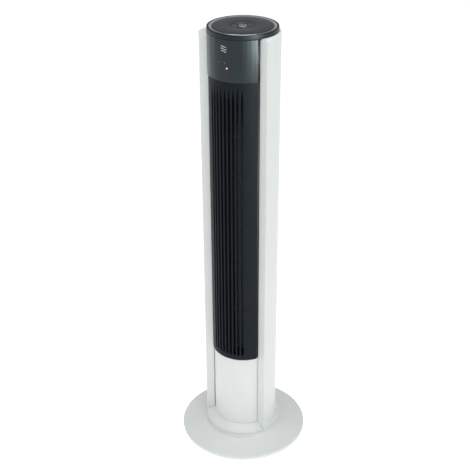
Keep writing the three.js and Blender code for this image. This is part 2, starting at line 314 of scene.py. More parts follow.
def moulded(
    name, light, dark, rough, grain, grain_depth=0.02, shine=0.5, tint=PLAIN_SHINE, painted_edge_highlight=None,
):
    """Moulded plastic: a faint cloudiness, a spark-eroded grain, a little dust in the gloss, and on
    request a painted highlight on sharp edges.
    """
    material, tree, shader = node_material(name)
    place = tree.nodes.new("ShaderNodeTexCoord").outputs["Object"]
    cloud = noise(tree, place, 14, detail=4)
    colour = blended(tree, ranged(tree, cloud, 0, 1), dark, light)
    # Painted highlight: sharp convex edges get a lighter colour in place of the light they catch.
    if painted_edge_highlight:
        edges = tree.nodes.new("ShaderNodeNewGeometry").outputs["Pointiness"]
        colour = blended(tree, ranged(tree, edges, 0, 1, 0.52, 0.62), colour, painted_edge_highlight)
    tree.links.new(colour, shader.inputs["Base Color"])
    smear = noise(tree, place, 55, detail=5, roughness=0.6)
    tree.links.new(ranged(tree, smear, rough[0], rough[1]), shader.inputs["Roughness"])
    speck = noise(tree, place, grain, detail=2)
    bumped(tree, shader, speck, 0.5, grain_depth)
    shader.inputs["IOR"].default_value = 1.5
    shader.inputs["Specular IOR Level"].default_value = shine
    shader.inputs["Specular Tint"].default_value = tint
    return material


def metal(name, colour, rough, stretch=(1, 1, 1), grain=900, depth=0.01):
    """Metal with a directional polish and slow changes of shine."""
    material, tree, shader = node_material(name)
    shader.inputs["Metallic"].default_value = 1.0
    place = tree.nodes.new("ShaderNodeTexCoord").outputs["Object"]
    mapping = tree.nodes.new("ShaderNodeMapping")
    mapping.inputs["Scale"].default_value = stretch
    tree.links.new(place, mapping.inputs["Vector"])
    brushed = noise(tree, mapping.outputs["Vector"], grain, detail=3)
    tint = tuple(c * 0.86 for c in colour)
    streaks = blended(tree, ranged(tree, brushed, 0, 1), tint, colour)
    tree.links.new(streaks, shader.inputs["Base Color"])
    smear = noise(tree, place, 40, detail=4)
    tree.links.new(ranged(tree, smear, rough[0], rough[1]), shader.inputs["Roughness"])
    bumped(tree, shader, brushed, 0.35, depth)
    return material


def lamp_lens(name, colour, strength):
    """A tinted lens with a lamp behind it."""
    material, tree, shader = node_material(name)
    place = tree.nodes.new("ShaderNodeTexCoord").outputs["Object"]
    mottle = noise(tree, place, 1400, detail=2)
    glow = blended(tree, ranged(tree, mottle, 0, 1), tuple(c * 0.7 for c in colour), colour)
    tree.links.new(glow, shader.inputs["Emission Color"])
    tree.links.new(glow, shader.inputs["Base Color"])
    shader.inputs["Emission Strength"].default_value = strength
    tree.links.new(ranged(tree, mottle, 0.15, 0.3), shader.inputs["Roughness"])
    return material


WHITE = moulded(
    "white_abs", (0.775, 0.805, 0.785), (0.75, 0.78, 0.76), (0.32, 0.40), 2600, 0.012, shine=0.35,
)
# The grille's edge colour is a painted highlight: a lighter, bluish tone on the fins' sharp edges.
GRILLE_BLACK = moulded(
    "grille_black", (0.011, 0.0125, 0.0165), (0.008, 0.0105, 0.015), (0.40, 0.50), 2400, 0.02,
    shine=0.1, tint=COOL_SHINE, painted_edge_highlight=(0.014, 0.017, 0.023),
)
CAP_BLACK = moulded(
    "cap_black", (0.010, 0.013, 0.018), (0.008, 0.0105, 0.015), (0.34, 0.44), 2400, 0.015,
    shine=0.3, tint=COOL_SHINE,
)
PIANO_BLACK = moulded(
    "piano_black", (0.010, 0.013, 0.015), (0.008, 0.0105, 0.0125), (0.12, 0.18), 300, 0.004,
    shine=0.42, tint=COOL_SHINE,
)
TOUCH_BLACK = moulded(
    "touch_black", (0.012, 0.0145, 0.019), (0.010, 0.012, 0.016), (0.18, 0.26), 500, 0.004,
    shine=0.36, tint=COOL_SHINE,
)
DARK_PLASTIC = moulded(
    "dark_plastic", (0.024, 0.025, 0.027), (0.018, 0.019, 0.021), (0.45, 0.6), 1800, 0.03,
)
WHEEL_GREY = moulded("wheel_grey", (0.075, 0.078, 0.088), (0.06, 0.063, 0.072), (0.5, 0.6), 1800, 0.03)
NYLON = moulded("natural_nylon", (0.70, 0.68, 0.60), (0.64, 0.62, 0.54), (0.4, 0.5), 1500, 0.02)
RUBBER = moulded("foot_rubber", (0.022, 0.022, 0.022), (0.014, 0.014, 0.014), (0.75, 0.9), 1300, 0.05)
BOARD = moulded("circuit_board", (0.03, 0.17, 0.07), (0.02, 0.12, 0.05), (0.3, 0.45), 900, 0.02)
SILVER = metal("silver_trim", (0.80, 0.83, 0.84), (0.10, 0.18), grain=700, depth=0.004)
KEY_SILVER = metal("key_silver", (0.62, 0.66, 0.68), (0.28, 0.38), stretch=(1, 6, 1), grain=900)
STEEL = metal("zinc_steel", (0.56, 0.58, 0.59), (0.28, 0.42), stretch=(1, 1, 4), grain=600)
IRON = metal("raw_iron", (0.20, 0.20, 0.21), (0.5, 0.7), grain=400, depth=0.04)
PRINT_LIGHT = moulded("print_light", (0.66, 0.70, 0.71), (0.58, 0.62, 0.63), (0.35, 0.45), 1500, 0.002)
PRINT_GREY = moulded("print_grey", (0.15, 0.17, 0.18), (0.11, 0.13, 0.14), (0.35, 0.45), 1500, 0.002)
LAMP_DIM = lamp_lens("lamp_dim", (0.17, 0.05, 0.08), 0.35)
LAMP_LIT = lamp_lens("lamp_lit", (0.80, 0.45, 0.58), 0.8)

SLOT_MATERIALS = {
    "white_plastic": WHITE,
    "black_plastic": GRILLE_BLACK,
    "gloss_black": PIANO_BLACK,
    "silver": SILVER,
    "dark_plastic": DARK_PLASTIC,
    "nylon": NYLON,
    "rubber": RUBBER,
    "steel": STEEL,
    "iron": IRON,
    "circuit_board": BOARD,
    "lamp": LAMP_DIM,
}


def paint_cad_nodes():
    """Gives every CAD node the procedural material of its slot in the record."""
    for subpart in frame["record"]["subparts"]:
        node = frame["nodes"][subpart["node"]]
        for material_slot in node.material_slots:
            material_slot.material = SLOT_MATERIALS[subpart["material_slot"]]


paint_cad_nodes()

# ---------------------------------------------------------------- base

FEET = 6
SCREWS = 4
DISH_RISE = 14.7
POST_WELL_R = 20
PLATE_HOLE_R = 8
PLATE_GROOVE_RADII = (36, 60, 84, 120)
SCREW_SHANK_R = 1.7
SCREW_PITCH = 0.8
BASE_SCREW_HEAD_R = 3.9
SHELL_SCREW_HEAD_R = 3.1
GLAND_BORE_R = 3.6


def base_shell():
    """The round foot: a thin edge, a gently rising dish and a low plinth under the swivel seam."""
    low, high = box_mm("base_cover")
    r, z, top = high.x, low.z, high.z
    plinth = box_mm("column_collar")[1].x
    dish = z + DISH_RISE
    outside = [
        (r, z, 0.6), (r, z + 6.4, 2.2), (r - 3, z + 7.6, 2.5), (plinth + 20, dish - 2.2, 14),
        (plinth, dish + 1.6, 5), (plinth, top, 0.8), (POST_WELL_R, top, 0.6),
    ]
    inside = [
        (POST_WELL_R, top - WALL, 0.3), (plinth - WALL, top - WALL, 1), (plinth - WALL, dish - 1.5, 3),
        (r - WALL, z + 4.3, 1), (r - WALL, z, 0.4),
    ]
    corners = outside + inside
    return lathe("base_shell", rounded(corners, 8), 256)


mount(base_shell(), "base", "white_plastic", WHITE, "base_cover")


def bottom_cover():
    """The flat plate under the base, with shallow ring grooves."""
    low, high = box_mm("base_bottom_plate")
    z, top = low.z, high.z
    profile = [(PLATE_HOLE_R, top), (PLATE_HOLE_R, z)]
    for r in PLATE_GROOVE_RADII:
        profile += [(r - 2, z), (r - 1.4, z + 0.7), (r + 1.4, z + 0.7), (r + 2, z)]
    profile += [(high.x - 1, z), (high.x, z + 1), (high.x, top)]
    return lathe("bottom_cover", profile, 128)


mount(bottom_cover(), "base", "dark_plastic", DARK_PLASTIC, "base_bottom_plate")


def foot_pad(number):
    """A stick-on rubber foot with two grip rings."""
    low, high = box_mm(f"rubber_foot_{number}")
    r, z, top = (high.x - low.x) / 2, low.z, high.z
    groove = z + 0.5
    profile = [(0, top), (0, groove), (2.4, groove), (2.7, z), (4.6, z), (4.9, groove), (5.6, groove)]
    profile += [(5.9, z), (r - 0.6, z), (r - 0.2, z + 0.2), (r, z + 0.6), (r - 0.2, top)]
    piece = lathe(f"foot_pad_{number}", profile, 48)
    centre = (low + high) / 2
    piece.data.transform(shift(centre.x, centre.y, 0))
    return piece


for foot in range(1, FEET + 1):
    mount(foot_pad(foot), "base", "rubber", RUBBER, f"rubber_foot_{foot}")


def screw(name, head_radius, length):
    """A pan-head screw that points along +Z, its head's top at the origin, with a cross recess."""
    profile = [(0, 0.05), (head_radius * 0.5, 0.12), (head_radius * 0.85, 0.4), (head_radius, 0.9)]
    profile += [(head_radius, 1.2), (SCREW_SHANK_R, 1.3)]
    z = 1.6
    while z < length - 1.2:
        profile += [(SCREW_SHANK_R, z), (SCREW_SHANK_R * 0.78, z + SCREW_PITCH / 2)]
        z += SCREW_PITCH
    profile += [(SCREW_SHANK_R * 0.5, length - 0.4), (0, length)]
    piece = lathe(name, profile, 32)
    cutters = []
    for turn in (0, 90):
        bar = prism("cutter", [(-2, -0.4), (2, -0.4), (2, 0.4), (-2, 0.4)], -1, 0.8)
        bar.data.transform(Matrix.Rotation(math.radians(turn), 4, "Z"))
        cutters.append(bar)
    carve(piece, cutters)
    return piece


def carve(piece, cutters):
    """Cuts the cutters out of a piece for good, and removes them."""
    for cutter in cutters:
        cut = piece.modifiers.new("cut", "BOOLEAN")
        cut.operation = "DIFFERENCE"
        cut.solver = "EXACT"
        cut.object = cutter
    bpy.context.view_layer.update()
    graph = bpy.context.evaluated_depsgraph_get()
    carved = bpy.data.meshes.new_from_object(piece.evaluated_get(graph))
    piece.modifiers.clear()
    piece.data = carved
    for cutter in cutters:
        bpy.data.objects.remove(cutter)


def place_screw(name, node, body, head_radius, upright):
    """Puts a screw where its CAD node is: upright with its head below, or level with its head behind."""
    low, high = box_mm(node)
    centre = (low + high) / 2
    length = (high.z - low.z) if upright else (high.y - low.y)
    piece = screw(name, head_radius, length)
    if upright:
        move = shift(centre.x, centre.y, low.z)
    else:
        move = shift(centre.x, high.y, centre.z) @ Matrix.Rotation(math.pi / 2, 4, "X")
    piece.data.transform(move)
    mount(piece, body, "steel", STEEL, node)


for number in range(1, SCREWS + 1):
    place_screw(f"base_plate_screw_{number}", f"base_screw_{number}", "base", BASE_SCREW_HEAD_R, True)
    place_screw(f"shell_screw_{number}", f"housing_screw_{number}", "column", SHELL_SCREW_HEAD_R, False)


def gland_bush():
    """The empty cable inlet at the back of the plinth: a ribbed bush with a flared mouth."""
    low, high = box_mm("cord_gland")
    r, start, end = (high.x - low.x) / 2, low.y, high.y
    bore = GLAND_BORE_R
    length = end - start
    profile = [(bore, 0), (r - 0.4, 0), (r - 0.1, 0.4), (r - 0.1, length - 5.6)]
    for z in spread(length - 5.4, length - 1.6, 3)[:-1]:
        profile += [(r, z), (r, z + 0.5), (r - 0.7, z + 0.7), (r - 0.7, z + 1.1)]
    profile += [(r, length - 1.4), (r, length - 0.4), (r - 0.4, length)]
    profile += [(bore + 0.6, length), (bore, length - 0.8)]
    piece = lathe("gland_bush", profile, 48)
    middle = (low + high) / 2
    piece.data.transform(shift(middle.x, start, middle.z) @ Matrix.Rotation(-math.pi / 2, 4, "X"))
    return piece


mount(gland_bush(), "base", "dark_plastic", DARK_PLASTIC, "cord_gland")

# ---------------------------------------------------------------- column: collar and skirt

COLLAR_TOP_R = 68
COLLAR_DECK_R = 77
COLLAR_DECK_Z = 36.6
POST_HOLE_R = 14.6
FLANGE_STEP = -33.0
FLANGE_BACK = -16.0
SKIRT_FLANGE_BACK = -20.0


def collar_cone():
    """The low cone that turns with the column."""
    low, high = box_mm("column_collar")
    r, z, top, deck = high.x, low.z, high.z, COLLAR_DECK_Z
    corners = [
        (r, z, 0.5), (COLLAR_TOP_R + 0.4, top - 0.2, 1.2), (COLLAR_TOP_R - WALL, top, 0.4),
        (COLLAR_TOP_R - WALL, deck + WALL + 3.5, 1), (POST_HOLE_R, deck + WALL, 0.2),
        (POST_HOLE_R, deck, 0.2), (COLLAR_DECK_R, deck, 0.4), (r - 4.6, z, 0.3),
    ]
    return lathe("collar_cone", rounded(corners, 6), 256)


mount(collar_cone(), "column", "white_plastic", WHITE, "column_collar")


def folded_edge(name, node, span, side, back):
    """A front panel's folded edge: it runs back beside the shell and steps out to the shell's lip."""
    low, high = box_mm(node)
    r = -low.y
    tip_x, tip_y = polar(r - WALL / 2, span)
    inside_x, _ = polar(r - WALL, span)
    step = max(FLANGE_STEP, tip_y + 1.5)
    start = tip_y + 0.8
    outline = [
        (tip_x, start), (tip_x, step), (high.x, step),
        (high.x, back), (inside_x, back), (inside_x, start),
    ]
    label = "right" if side > 0 else "left"
    return prism(f"{name}_{label}", [(side * x, y) for x, y in outline], low.z + 0.2, high.z - 0.2)


def mount_edges(name, node, span, slot, material, back=FLANGE_BACK):
    """Both folded edges of a front panel."""
    for side in (-1, 1):
        mount(folded_edge(name, node, span, side, back), "column", slot, material)


def skirt_span():
    """The angle from the front to the skirt's side edges."""
    low, high = box_mm("front_skirt")
    return math.degrees(math.asin(high.x / -low.y))


def skirt_panel():
    """The plain white panel below the grille."""
    low, high = box_mm("front_skirt")
    r, span = -low.y, skirt_span()
    return soften(curved_panel("skirt_panel", r - WALL, r, -span, span, low.z, high.z), 0.15)


mount(skirt_panel(), "column", "white_plastic", WHITE, "front_skirt")
mount_edges("skirt_edge", "front_skirt", skirt_span(), "white_plastic", WHITE, SKIRT_FLANGE_BACK)

# ---------------------------------------------------------------- column: slotted sheets

MARGIN_STEPS = 36
FIN_STEPS = 6


def slot_half_width(z, bottom, top, half, foot, tip):
    """Half the width of an upright slot at a height: zero outside it, narrowing over foot and tip."""
    if z <= bottom or z >= top:
        return 0.0
    return half * min(1.0, (z - bottom) / foot, (top - z) / tip)


def slotted_sheet(edges, levels, half_at, place, depth_at):
    """A sheet between the first and last of edges, with a slot on each of the others.

    half_at(z) is half a slot's width, in the units of u. place(u, z, depth) is a point under the front
    face, and depth_at(z, outermost) is how deep a strip between neighbouring slots goes.
    """
    points, faces = [], []
    for s, (start, end) in enumerate(zip(edges, edges[1:])):
        outermost = s == 0 or s == len(edges) - 2
        steps = MARGIN_STEPS if outermost else FIN_STEPS
        columns = steps + 1
        base = len(points)
        for behind in (False, True):
            for z in levels:
                a = start + (half_at(z) if s > 0 else 0)
                b = end - (half_at(z) if s < len(edges) - 2 else 0)
                depth = depth_at(z, outermost) if behind else 0
                points += [place(u, z, depth) for u in spread(a, b, steps)]
        sheet = grid_faces(len(levels), columns)
        back = columns * len(levels)
        faces += [tuple(base + i for i in f) for f in sheet]
        faces += [tuple(base + back + i for i in reversed(f)) for f in sheet]
        rims = [list(range(columns)), [(len(levels) - 1) * columns + i for i in range(columns)]]
        for rim in rims:
            for i, j in zip(rim, rim[1:]):
                faces.append((base + i, base + j, base + back + j, base + back + i))
        for column, slotted in ((0, s > 0), (columns - 1, s < len(edges) - 2)):
            for r, (z, above) in enumerate(zip(levels, levels[1:])):
                if not slotted or half_at(z) > 0 or half_at(above) > 0:
                    i, j = r * columns + column, (r + 1) * columns + column
                    faces.append((base + i, base + j, base + back + j, base + back + i))
    return new_object("sheet", points, faces)


# ---------------------------------------------------------------- column: grille

SLOTS = 9
SLOT_PITCH = 7.5
SLOT_HALF = 2.15
SLOT_FOOT = 5.0
SLOT_TIP = 30.0
SLOT_SILL = 10.5
SLOT_HEAD = 11.5
FIN_DEPTH = 9.0
GRILLE_SPAN = 57.0


def grille_body():
    """The outlet grille: a curved panel whose nine slots leave deep upright fins."""
    low, high = box_mm("front_grille")
    r = -low.y
    bottom, top = low.z + SLOT_SILL, high.z - SLOT_HEAD

    def half_at(z):
        return slot_half_width(z, bottom, top, SLOT_HALF, SLOT_FOOT, SLOT_TIP)

    def depth_at(z, outermost):
        if outermost or z <= bottom + 2 or z >= top - 2:
            return WALL
        return min(FIN_DEPTH, WALL + min(z - bottom, top - z) * 0.5)

    def place(u, z, depth):
        return (*polar(r - depth, u), z)

    levels = spread(low.z, bottom, 3) + spread(bottom, bottom + SLOT_FOOT, 4)[1:]
    levels += spread(bottom + SLOT_FOOT, bottom + 16, 3)[1:] + spread(bottom + 16, top - SLOT_TIP, 24)[1:]
    levels += spread(top - SLOT_TIP, top, 12)[1:] + spread(top, high.z, 3)[1:]
    centres = [(i - (SLOTS - 1) / 2) * SLOT_PITCH for i in range(SLOTS)]
    body = slotted_sheet([-GRILLE_SPAN, *centres, GRILLE_SPAN], levels, half_at, place, depth_at)
    body.name = "grille_body"
    return soften(body, 0.45, 2, 50)


mount(grille_body(), "column", "black_plastic", GRILLE_BLACK, "front_grille")
mount_edges("grille_edge", "front_grille", GRILLE_SPAN, "dark_plastic", DARK_PLASTIC)

# ---------------------------------------------------------------- column: display

PANEL_SPAN = 55.0
LAMPS = 4
LIT_LAMP = 4
LAMP_RADIUS = 2.0
LAMP_GAP = 0.3
LAMP_REACH = (68, 73.9)
LAMP_HOLE_REACH = (66, 80)
BREEZE_ROWS = ((6.0, 984.8), (7.4, 980.0), (6.0, 975.2))
BREEZE_LIFT = 1.2
BREEZE_HALF_WIDTH = 0.6
BREEZE_STEPS = 28


def display_face():
    """The glossy panel above the grille, with an opening for each lamp."""
    low, high = box_mm("display_panel")
    r = -low.y
    piece = curved_panel("display_face", r - WALL, r, -PANEL_SPAN, PANEL_SPAN, low.z, high.z, 160, 16)
    cutters = []
    for number in range(1, LAMPS + 1):
        place = lamp_centre(number)
        cutters.append(radial_rod("cutter", LAMP_RADIUS + LAMP_GAP, *LAMP_HOLE_REACH, *place))
    carve(piece, cutters)
    shade_smooth(piece)
    return soften(piece, 0.5, 3)


def lamp_centre(number):
    """A lamp's angle from the front and its height."""
    low, high = box_mm(f"indicator_lamp_{number}")
    rod = frame["nodes"][f"indicator_lamp_{number}"].data.vertices
    middle = sum((v.co for v in rod), Vector()) / len(rod) / MM
    return math.degrees(math.atan2(middle.x, -middle.y)), (low.z + high.z) / 2


def radial_rod(name, radius, start, end, degrees, z, dome=0.0):
    """A rod that points out of the column, with a domed outer end."""
    profile = [(0, start), (radius, start), (radius, end - dome)]
    for a in spread(0, math.pi / 2, 5)[1:]:
        profile.append((radius * math.cos(a), end - dome + dome * math.sin(a)))
    piece = lathe(name, profile, 32)
    point = Matrix.Rotation(math.radians(degrees), 4, "Z") @ Matrix.Rotation(math.pi / 2, 4, "X")
    piece.data.transform(shift(0, 0, z) @ point)
    return piece


mount(display_face(), "column", "gloss_black", PIANO_BLACK, "display_panel")
mount_edges("display_edge", "display_panel", PANEL_SPAN, "dark_plastic", DARK_PLASTIC)

for number in range(1, LAMPS + 1):
    angle, height = lamp_centre(number)
    lens = radial_rod(f"lamp_lens_{number}", LAMP_RADIUS, *LAMP_REACH, angle, height, dome=0.5)
    glow = LAMP_LIT if number == LIT_LAMP else LAMP_DIM
    mount(lens, "column", "lamp", glow, f"indicator_lamp_{number}")


def breeze_mark():
    """A generic pictogram on the display: three wavy lines of air."""
    low, _ = box_mm("display_panel")
    r = -low.y + 0.02
    points, faces = [], []
    for reach, z in BREEZE_ROWS:
        base = len(points)
        for i in range(BREEZE_STEPS + 1):
            across = -reach + 2 * reach * i / BREEZE_STEPS
            lift = BREEZE_LIFT * math.sin(2 * math.pi * i / BREEZE_STEPS)
            width = BREEZE_HALF_WIDTH * math.sqrt(max(0.0, 1 - (across / reach) ** 6)) + 0.05
            for side in (-1, 1):
                points.append((*polar(r, math.degrees(across / r)), z + lift + side * width))
        for i in range(base, base + 2 * BREEZE_STEPS, 2):
            faces.append((i, i + 2, i + 3, i + 1))
    return ink(new_object("breeze_mark", points, faces))


mount(breeze_mark(), "column", "silver", PRINT_LIGHT)

# ---------------------------------------------------------------- column: rear shell

SHELL_ARC_Y = -8.0
SHELL_INNER = (62.2, -35.2)
SHELL_LIP_Y = -14.0
SHELL_EDGE = 6.5
SHELL_BEVEL = 1.9
SHELL_FRONT = -60.0
SHELL_STEPS = 88
SCREW_HOLE_R = 3.6
COLLAR_GAP = 0.6
CAP_HOLE = 74.4
INTAKE_COLUMNS = 14
INTAKE_ROWS = 3
INTAKE_SPAN = 120
INTAKE_RANGE = (250, 880)
INTAKE_BRIDGE = 10
INTAKE_HALF = 2.9


def shell_size():
    """The shell's half width, its elliptic back's depth, its corner's y, and its foot and top."""
    low, high = box_mm("rear_housing")
    return high.x, high.y - SHELL_ARC_Y, low.y, low.z, high.z


def face_slope():
    """How far the slanted front faces come forward for each millimetre outwards."""
    half, _, corner_y, _, _ = shell_size()
    inner_x, inner_y = SHELL_INNER
    return (corner_y - inner_y) / (half - inner_x)


def shell_path(inset):
    """The shell's outer line in plan, drawn in, from its right front end round the back to the left."""
    half, depth, *_ = shell_size()
    points = [(half - inset, SHELL_FRONT)]
    for a in spread(90, -90, SHELL_STEPS):
        x = (half - inset) * math.sin(math.radians(a))
        y = SHELL_ARC_Y + (depth - inset) * math.cos(math.radians(a))
        points.append((x, y))
    return points + [(inset - half, SHELL_FRONT)]


def shell_body():
    """The full D-shaped block with its rounded top edge, which is narrower behind the cap."""
    *_, bottom, top = shell_size()
    outer = [Vector(p) for p in shell_path(0)]
    edge = [
        min(SHELL_EDGE, 0.8 * (p.length - CAP_HOLE)) if p.y > SHELL_ARC_Y - 1 else SHELL_EDGE
        for p in outer
    ]
    rows = [[(*p, bottom) for p in outer]]
    for turn in spread(0, 90, 8):
        a = math.radians(turn)
        row = []
        for p, e in zip(outer, edge):
            inward = Vector((-p.x, 0)) if p.y < SHELL_ARC_Y else Vector((-p.x, SHELL_ARC_Y - p.y))
            q = p + inward.normalized() * e * (1 - math.cos(a))
            row.append((*q, top - e * (1 - math.sin(a))))
        rows.append(row)
    across = len(outer)
    points = [p for row in rows for p in row]
    faces = grid_faces(len(rows), across)
    faces.append(tuple(range(across)))
    faces.append(tuple((len(rows) - 1) * across + i for i in range(across)))
    right = [r * across for r in range(len(rows))]
    left = [r * across + across - 1 for r in reversed(range(len(rows)))]
    faces.append(tuple(right + left))
    return new_object("rear_shell", points, faces)


def shell_cavity():
    """The space inside the shell, open at the front between its two lips."""
    half, _, _, bottom, top = shell_size()
    inner_x, inner_y = SHELL_INNER
    slope = face_slope()
    behind = WALL * math.hypot(1, slope)
    lip = inner_x + WALL
    right = [
        (half - WALL, inner_y + behind + (half - WALL - inner_x) * slope),
        (lip, inner_y + behind + WALL * slope), (lip, SHELL_LIP_Y), (inner_x, SHELL_LIP_Y),
        (inner_x, SHELL_FRONT - 20),
    ]
    round_back = shell_path(WALL)[1:-1]
    left = [(-x, y) for x, y in reversed(right)]
    outline = [*reversed(right), *round_back, *reversed(left)]
    return prism("cutter", outline, bottom - 20, top - WALL)


def shell_front_cut():
    """What lies in front of the two slanted faces."""
    half, _, _, bottom, top = shell_size()
    inner_x, inner_y = SHELL_INNER
    far = half + 15
    far_y = inner_y + (far - inner_x) * face_slope()
    right = [(inner_x, inner_y), (far, far_y), (far, SHELL_FRONT - 25)]
    outline = right + [(-x, y) for x, y in reversed(right)]
    return prism("cutter", outline, bottom - 20, top + 20)


def collar_clearance():
    """The cone that the shell's foot stands clear of."""
    low, high = box_mm("column_collar")
    r, z, top = high.x + COLLAR_GAP, low.z + 0.2, high.z + 0.2
    under = low.z - 15
    profile = [(0, under), (r, under), (r, z), (COLLAR_TOP_R + COLLAR_GAP, top), (0, top)]
    return lathe("cutter", profile, 128)


def intake_slots():
    """All the intake slots as one cutter: upright bars with round ends, fanned out round the back."""
    _, depth, *_ = shell_size()
    low, high = INTAKE_RANGE
    pitch = (high - low + INTAKE_BRIDGE) / INTAKE_ROWS
    points, faces = [], []
    for column in range(INTAKE_COLUMNS):
        a = math.radians(-INTAKE_SPAN / 2 + INTAKE_SPAN * (column + 0.5) / INTAKE_COLUMNS)
        out = Vector((-math.sin(a), math.cos(a)))
        side = Vector((math.cos(a), math.sin(a)))
        for row in range(INTAKE_ROWS):
            foot = low + row * pitch
            tip = foot + pitch - INTAKE_BRIDGE
            ring = []
            for z, start in ((tip - INTAKE_HALF, 0), (foot + INTAKE_HALF, math.pi)):
                for t in spread(start, start + math.pi, 6):
                    ring.append((INTAKE_HALF * math.cos(t), z + INTAKE_HALF * math.sin(t)))
            base, count = len(points), len(ring)
            for reach in (depth - 12, depth + 6):
                for across, z in ring:
                    p = out * reach + side * across
                    points.append((p.x, p.y + SHELL_ARC_Y, z))
            faces += [
                (base + i, base + (i + 1) % count, base + count + (i + 1) % count, base + count + i)
                for i in range(count)
            ]
            faces.append(tuple(base + i for i in reversed(range(count))))
            faces.append(tuple(base + count + i for i in range(count)))
    return new_object("cutter", points, faces)


def weigh_edges(piece, large, small_share, angle=38):
    """Marks the sharp edges for a bevel: fully where large(midpoint) is true, else by small_share."""
    bm = bmesh.new()
    bm.from_mesh(piece.data)
    weight = bm.edges.layers.float.new("bevel_weight_edge")
    for edge in bm.edges:
        if len(edge.link_faces) != 2 or edge.calc_face_angle(0) < math.radians(angle):
            continue
        middle = (edge.verts[0].co + edge.verts[1].co) / 2 / MM
        edge[weight] = 1.0 if large(middle) else small_share
    bm.to_mesh(piece.data)
    bm.free()


def rear_shell():
    """The white U-shaped shell: slanted front faces, a deck round the cap and intake slots behind."""
    half, _, corner_y, _, top = shell_size()
    piece = shell_body()
    cap_hole = [(0, top - 3), (CAP_HOLE, top - 3), (CAP_HOLE, top + 9), (0, top + 9)]
    cutters = [shell_front_cut(), shell_cavity(), collar_clearance(), lathe("cutter", cap_hole)]
    cutters.append(intake_slots())
    for number in range(1, SCREWS + 1):
        low, high = box_mm(f"housing_screw_{number}")
        centre = (low + high) / 2
        hole = lathe("cutter", [(0, -20), (SCREW_HOLE_R, -20), (SCREW_HOLE_R, 12), (0, 12)], 32)
        hole.data.transform(shift(centre.x, high.y, centre.z) @ Matrix.Rotation(-math.pi / 2, 4, "X"))
        cutters.append(hole)
    carve(piece, cutters)
    weigh_edges(piece, lambda m: abs(m.x) > half - 1 and m.y < corner_y + 1.5, 0.3)
    shade_smooth(piece)
    bevel = piece.modifiers.new("edges", "BEVEL")
    bevel.width = SHELL_BEVEL * MM
    bevel.segments = 4
    bevel.limit_method = "WEIGHT"
    piece.modifiers.new("normals", "WEIGHTED_NORMAL").keep_sharp = True
    return piece


mount(rear_shell(), "column", "white_plastic", WHITE, "rear_housing")

# ---------------------------------------------------------------- column: cap, trim ring and touch glass

CAP_UNDER_Z = 999.5
CAP_FLOOR_Z = 1004
CAP_RECESS_R = 70.3
CAP_WELL_R = 25.5
CAP_PLUG_R = 60
RING_INNER_R = 63.9
GLASS_HOLE_R = 25


def cap_body():
    """The black disc on top: a recess for the glass, and a plug that sits in the column."""
    low, high = box_mm("top_cap")
    r, plug, top = high.x, low.z, high.z
    floor, under, well, plug_inner = CAP_FLOOR_Z, CAP_FLOOR_Z - 3, CAP_WELL_R, CAP_PLUG_R - WALL
    corners = [
        (r, CAP_UNDER_Z, 0.7), (r, top, 1.6), (CAP_RECESS_R, top, 0.5), (CAP_RECESS_R, floor, 0.3),
        (well, floor, 0.2), (well, under, 0.2), (plug_inner, under, 0.2), (plug_inner, plug, 0.3),
        (CAP_PLUG_R, plug, 0.3), (CAP_PLUG_R, CAP_UNDER_Z, 0.3),
    ]
    return lathe("cap_body", rounded(corners, 5), 256)


mount(cap_body(), "column", "black_plastic", CAP_BLACK, "top_cap")


def bevel_ring():
    """The polished ring round the glass, dished towards it."""
    low, high = box_mm("trim_ring")
    inner, r, z, top = RING_INNER_R, high.x, low.z, high.z
    corners = [
        (inner, z, 0.2), (r, z, 0.2), (r, top, 0.7), (r - 1.6, top, 0.8), (inner + 0.9, top - 1.0, 0.6),
        (inner, top - 1.5, 0.3),
    ]
    return lathe("bevel_ring", rounded(corners, 5), 256)


mount(bevel_ring(), "column", "silver", SILVER, "trim_ring")


def touch_glass():
    """The dark glass ring round the keys."""
    low, high = box_mm("control_glass")
    r, hole = high.x, GLASS_HOLE_R
    corners = [(hole, low.z, 0.2), (r, low.z, 0.2), (r, high.z, 0.5), (hole, high.z, 0.4)]
    return lathe("touch_glass", rounded(corners, 4), 256)


mount(touch_glass(), "column", "gloss_black", TOUCH_BLACK, "control_glass")

# ---------------------------------------------------------------- keys and their pictograms

KEY_ANGLES = {"speed": 45, "swing": 135, "timer": 225, "mode": 315}
KEY_INNER_R = 9.4
KEY_OUTER_R = 24.4
KEY_HALF_ANGLE = 43.5
PAD_UNDER_Z = 1005.3
STEM_R = 1.8


def ring_pad(name, middle):
    """A quarter-ring key with soft edges."""
    _, high = box_mm(f"{name}_key")
    angles = spread(middle - KEY_HALF_ANGLE, middle + KEY_HALF_ANGLE, 40)
    outline = [polar(KEY_OUTER_R, a) for a in angles] + [polar(KEY_INNER_R, a) for a in reversed(angles)]
    return soften(prism(f"{name}_pad", outline, PAD_UNDER_Z, high.z - INK), 0.45, 3)


for key_name, key_angle in KEY_ANGLES.items():
    pad = ring_pad(key_name, key_angle)
    mount(pad, f"{key_name}_button", "gloss_black", TOUCH_BLACK, f"{key_name}_key")


def power_pad():
    """The silver key in the middle, dished, with its stem."""
    low, high = box_mm("power_key")
    r, stem, under, top = high.x, low.z, PAD_UNDER_Z, high.z - INK
    profile = [(0, stem), (STEM_R, stem), (STEM_R, under), (r - 0.3, under), (r, under + 0.4)]
    profile += [(r, top - 0.5), (r - 0.2, top - 0.15), (r - 0.6, top), (r - 2.2, top - 0.25)]
    profile.append((0, top - 0.45))
    return lathe("power_pad", profile, 96)


mount(power_pad(), "power_button", "silver", KEY_SILVER, "power_key")


def stroke(points, width, closed=False):
    """The two edges of a flat line of even width along plan points."""
    sides = []
    count = len(points)
    for i, p in enumerate(points):
        before = Vector(points[i - 1] if i or closed else points[0])
        after = Vector(points[(i + 1) % count] if i < count - 1 or closed else points[-1])
        along = (after - before).normalized()
        across = Vector((-along.y, along.x)) * width / 2
        sides.append((Vector(p) + across, Vector(p) - across))
    return sides


